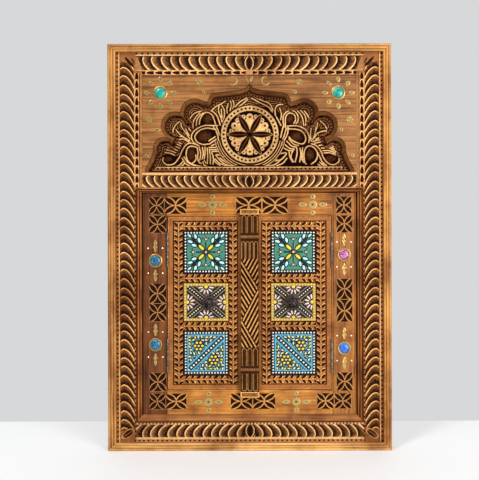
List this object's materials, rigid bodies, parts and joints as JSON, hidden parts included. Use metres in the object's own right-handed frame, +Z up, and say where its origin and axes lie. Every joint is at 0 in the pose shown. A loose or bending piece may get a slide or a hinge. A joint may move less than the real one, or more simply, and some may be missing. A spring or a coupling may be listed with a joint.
{
  "type": "jharokha wall mirror",
  "caption": "Carved wooden window-frame wall mirror with a lobed arch panel over tile-set doors that open to the glass.",
  "frame": {"origin": "centre of the flat bottom edge of the frame, midway between its front and its back", "axes": "+X to the right as seen from the front, +Y to the wall behind, +Z up"},
  "size_m": [0.637, 0.053, 0.914],
  "materials": {
    "carved_wood": "hand carved, dark stain in the cuts, rubbed golden on the ridges",
    "honey_wood": "honey stain, satin lacquer, rubbed edges",
    "panel_wood": "red-brown stain, satin lacquer, visible grain",
    "pillar_wood": "hand carved, dark stain in the cuts",
    "plywood": "plain thin board",
    "mirror": "silvered glass",
    "turquoise_glass": "opaque glass, polished",
    "blue_glass": "opaque crackled glass, polished",
    "pink_glass": "opaque crackled glass, polished",
    "deep_blue_glass": "opaque glass, polished",
    "brass": "thin sheet brass, aged",
    "steel": "dull plated steel",
    "green_tile": "glazed, raised hand-piped pattern",
    "yellow_tile": "glazed, raised hand-piped pattern",
    "blue_tile": "glazed, raised hand-piped pattern",
    "pewter": "antique dark casting"
  },
  "bodies": {
    "frame": {"arch_spandrel": "panel_wood", "backing_board": "plywood", "backing_screws": "steel", "blue_cabochons": "blue_glass", "bottom_edge_moulding": "honey_wood", "bottom_rail": "carved_wood", "brass_nails": "brass", "cabochon_bezels": "brass", "carved_tympanum": "carved_wood", "deep_blue_cabochon": "deep_blue_glass", "door_frame_inlays": "brass", "foot_board": "panel_wood", "hanger_plates": "steel", "hanger_screws": "steel", "head_board": "panel_wood", "head_reveal": "panel_wood", "hinge_frame_plates": "steel", "hinge_frame_screws": "steel", "hinge_pins": "steel", "left_edge_moulding": "honey_wood", "left_jamb": "panel_wood", "left_reveal": "panel_wood", "left_stile": "carved_wood", "middle_rail": "carved_wood", "mirror_glass": "mirror", "pink_cabochon": "pink_glass", "right_edge_moulding": "honey_wood", "right_jamb": "panel_wood", "right_reveal": "panel_wood", "right_stile": "carved_wood", "sill": "honey_wood", "spandrel_inlays": "brass", "top_edge_moulding": "honey_wood", "top_rail": "carved_wood", "turquoise_cabochons": "turquoise_glass"},
    "left_door": {"left_door_back_panel": "plywood", "left_door_blue_tile": "blue_tile", "left_door_bottom_rail": "carved_wood", "left_door_cross_rails": "carved_wood", "left_door_green_tile": "green_tile", "left_door_hinge_plates": "steel", "left_door_hinge_screws": "steel", "left_door_hinge_stile": "carved_wood", "left_door_knob": "pewter", "left_door_meeting_stile": "carved_wood", "left_door_top_rail": "carved_wood", "left_door_yellow_tile": "yellow_tile"},
    "right_door": {"right_door_back_panel": "plywood", "right_door_blue_tile": "blue_tile", "right_door_bottom_rail": "carved_wood", "right_door_cross_rails": "carved_wood", "right_door_green_tile": "green_tile", "right_door_hinge_plates": "steel", "right_door_hinge_screws": "steel", "right_door_hinge_stile": "carved_wood", "right_door_knob": "pewter", "right_door_meeting_stile": "carved_wood", "right_door_top_rail": "carved_wood", "right_door_yellow_tile": "yellow_tile", "pillar": "pillar_wood"}
  },
  "joints": [
    {"name": "right_door_hinge", "type": "hinge", "parent": "frame", "child": "right_door", "pos_m": [0.1865, -0.0055, 0.3305], "axis": [0, 0, 1], "range_deg": [0, 135]},
    {"name": "left_door_hinge", "type": "hinge", "parent": "frame", "child": "left_door", "pos_m": [-0.1865, -0.0055, 0.3305], "axis": [0, 0, -1], "range_deg": [0, 135]}
  ],
  "couplings": [
    {"joint": "left_door_hinge", "follows": "right_door_hinge", "ratio": 1}
  ]
}
